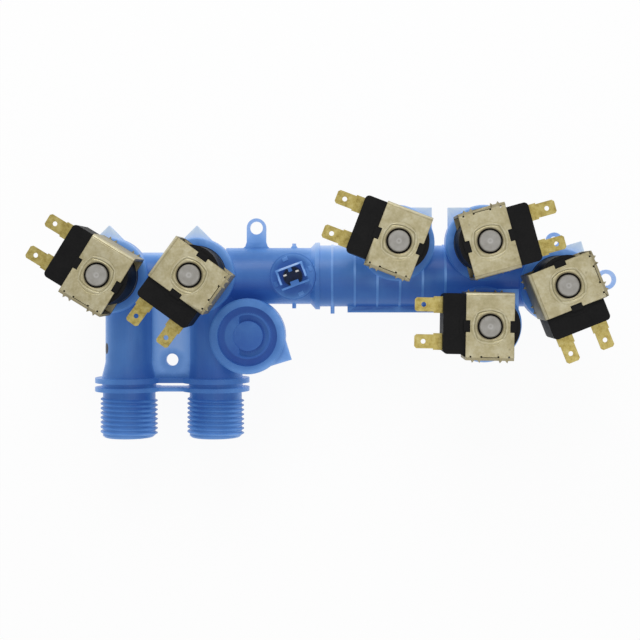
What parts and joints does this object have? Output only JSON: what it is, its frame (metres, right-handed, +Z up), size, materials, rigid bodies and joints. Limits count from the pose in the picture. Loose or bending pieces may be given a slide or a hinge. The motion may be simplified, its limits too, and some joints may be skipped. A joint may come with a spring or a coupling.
{
  "type": "washing machine inlet valve",
  "caption": "Blue manifold with two hose-threaded inlets, solenoid water valves with steel yokes and blade terminals, a temperature sensor and a blank cup.",
  "frame": {"origin": "on the hose side of the outer panel flange, midway between the two inlets and on their axes' level", "axes": "+X along the manifold away from the inlets, -Y out of the hose inlets, +Z up along the solenoids' axes"},
  "size_m": [0.2731, 0.1154, 0.0764],
  "materials": {
    "blue_polypropylene": "translucent blue polypropylene, semi-gloss as moulded",
    "blue_sensor_plastic": "blue moulded plastic, semi-gloss",
    "passivated_steel": "yellow-passivated zinc on folded steel, satin",
    "black_overmould": "black glass-filled plastic, fine grain",
    "brass_blades": "stamped brass, slightly tarnished",
    "grey_guide_plastic": "warm grey plastic, satin",
    "armature_steel": "turned stainless steel",
    "spring_steel": "drawn stainless wire",
    "black_rubber": "black moulded rubber",
    "screen_plastic": "white moulded mesh",
    "tinned_pins": "tinned contact pins"
  },
  "bodies": {
    "valve_body": {"manifold_body": "blue_polypropylene", "sensor_housing": "blue_sensor_plastic", "sensor_pins": "tinned_pins", "sensor_seal": "black_rubber", "inlet_screen_1": "screen_plastic", "inlet_screen_2": "screen_plastic", "yoke_1": "passivated_steel", "coil_1": "black_overmould", "terminals_1": "brass_blades", "guide_tube_1": "grey_guide_plastic", "spring_1": "spring_steel", "diaphragm_1": "black_rubber", "yoke_2": "passivated_steel", "coil_2": "black_overmould", "terminals_2": "brass_blades", "guide_tube_2": "grey_guide_plastic", "spring_2": "spring_steel", "diaphragm_2": "black_rubber", "yoke_3": "passivated_steel", "coil_3": "black_overmould", "terminals_3": "brass_blades", "guide_tube_3": "grey_guide_plastic", "spring_3": "spring_steel", "diaphragm_3": "black_rubber", "yoke_4": "passivated_steel", "coil_4": "black_overmould", "terminals_4": "brass_blades", "guide_tube_4": "grey_guide_plastic", "spring_4": "spring_steel", "diaphragm_4": "black_rubber", "yoke_5": "passivated_steel", "coil_5": "black_overmould", "terminals_5": "brass_blades", "guide_tube_5": "grey_guide_plastic", "spring_5": "spring_steel", "diaphragm_5": "black_rubber", "yoke_6": "passivated_steel", "coil_6": "black_overmould", "terminals_6": "brass_blades", "guide_tube_6": "grey_guide_plastic", "spring_6": "spring_steel", "diaphragm_6": "black_rubber"},
    "plunger_1": {"armature_1": "armature_steel"},
    "plunger_2": {"armature_2": "armature_steel"},
    "plunger_3": {"armature_3": "armature_steel"},
    "plunger_4": {"armature_4": "armature_steel"},
    "plunger_5": {"armature_5": "armature_steel"},
    "plunger_6": {"armature_6": "armature_steel"}
  },
  "joints": [
    {"name": "plunger_1_lift", "type": "slide", "parent": "valve_body", "child": "plunger_1", "axis": [0, 0, 1], "range_m": [0, 0.0028], "stiffness_N_per_m": 150, "springref_m": -0.005, "deforming": ["spring_1"]},
    {"name": "plunger_2_lift", "type": "slide", "parent": "valve_body", "child": "plunger_2", "axis": [0, 0, 1], "range_m": [0, 0.0028], "stiffness_N_per_m": 150, "springref_m": -0.005, "deforming": ["spring_2"]},
    {"name": "plunger_3_lift", "type": "slide", "parent": "valve_body", "child": "plunger_3", "axis": [0, 0, 1], "range_m": [0, 0.0028], "stiffness_N_per_m": 150, "springref_m": -0.005, "deforming": ["spring_3"]},
    {"name": "plunger_4_lift", "type": "slide", "parent": "valve_body", "child": "plunger_4", "axis": [0, 0, 1], "range_m": [0, 0.0028], "stiffness_N_per_m": 150, "springref_m": -0.005, "deforming": ["spring_4"]},
    {"name": "plunger_5_lift", "type": "slide", "parent": "valve_body", "child": "plunger_5", "axis": [0, 0, 1], "range_m": [0, 0.0028], "stiffness_N_per_m": 150, "springref_m": -0.005, "deforming": ["spring_5"]},
    {"name": "plunger_6_lift", "type": "slide", "parent": "valve_body", "child": "plunger_6", "axis": [0, 0, 1], "range_m": [0, 0.0028], "stiffness_N_per_m": 150, "springref_m": -0.005, "deforming": ["spring_6"]}
  ]
}
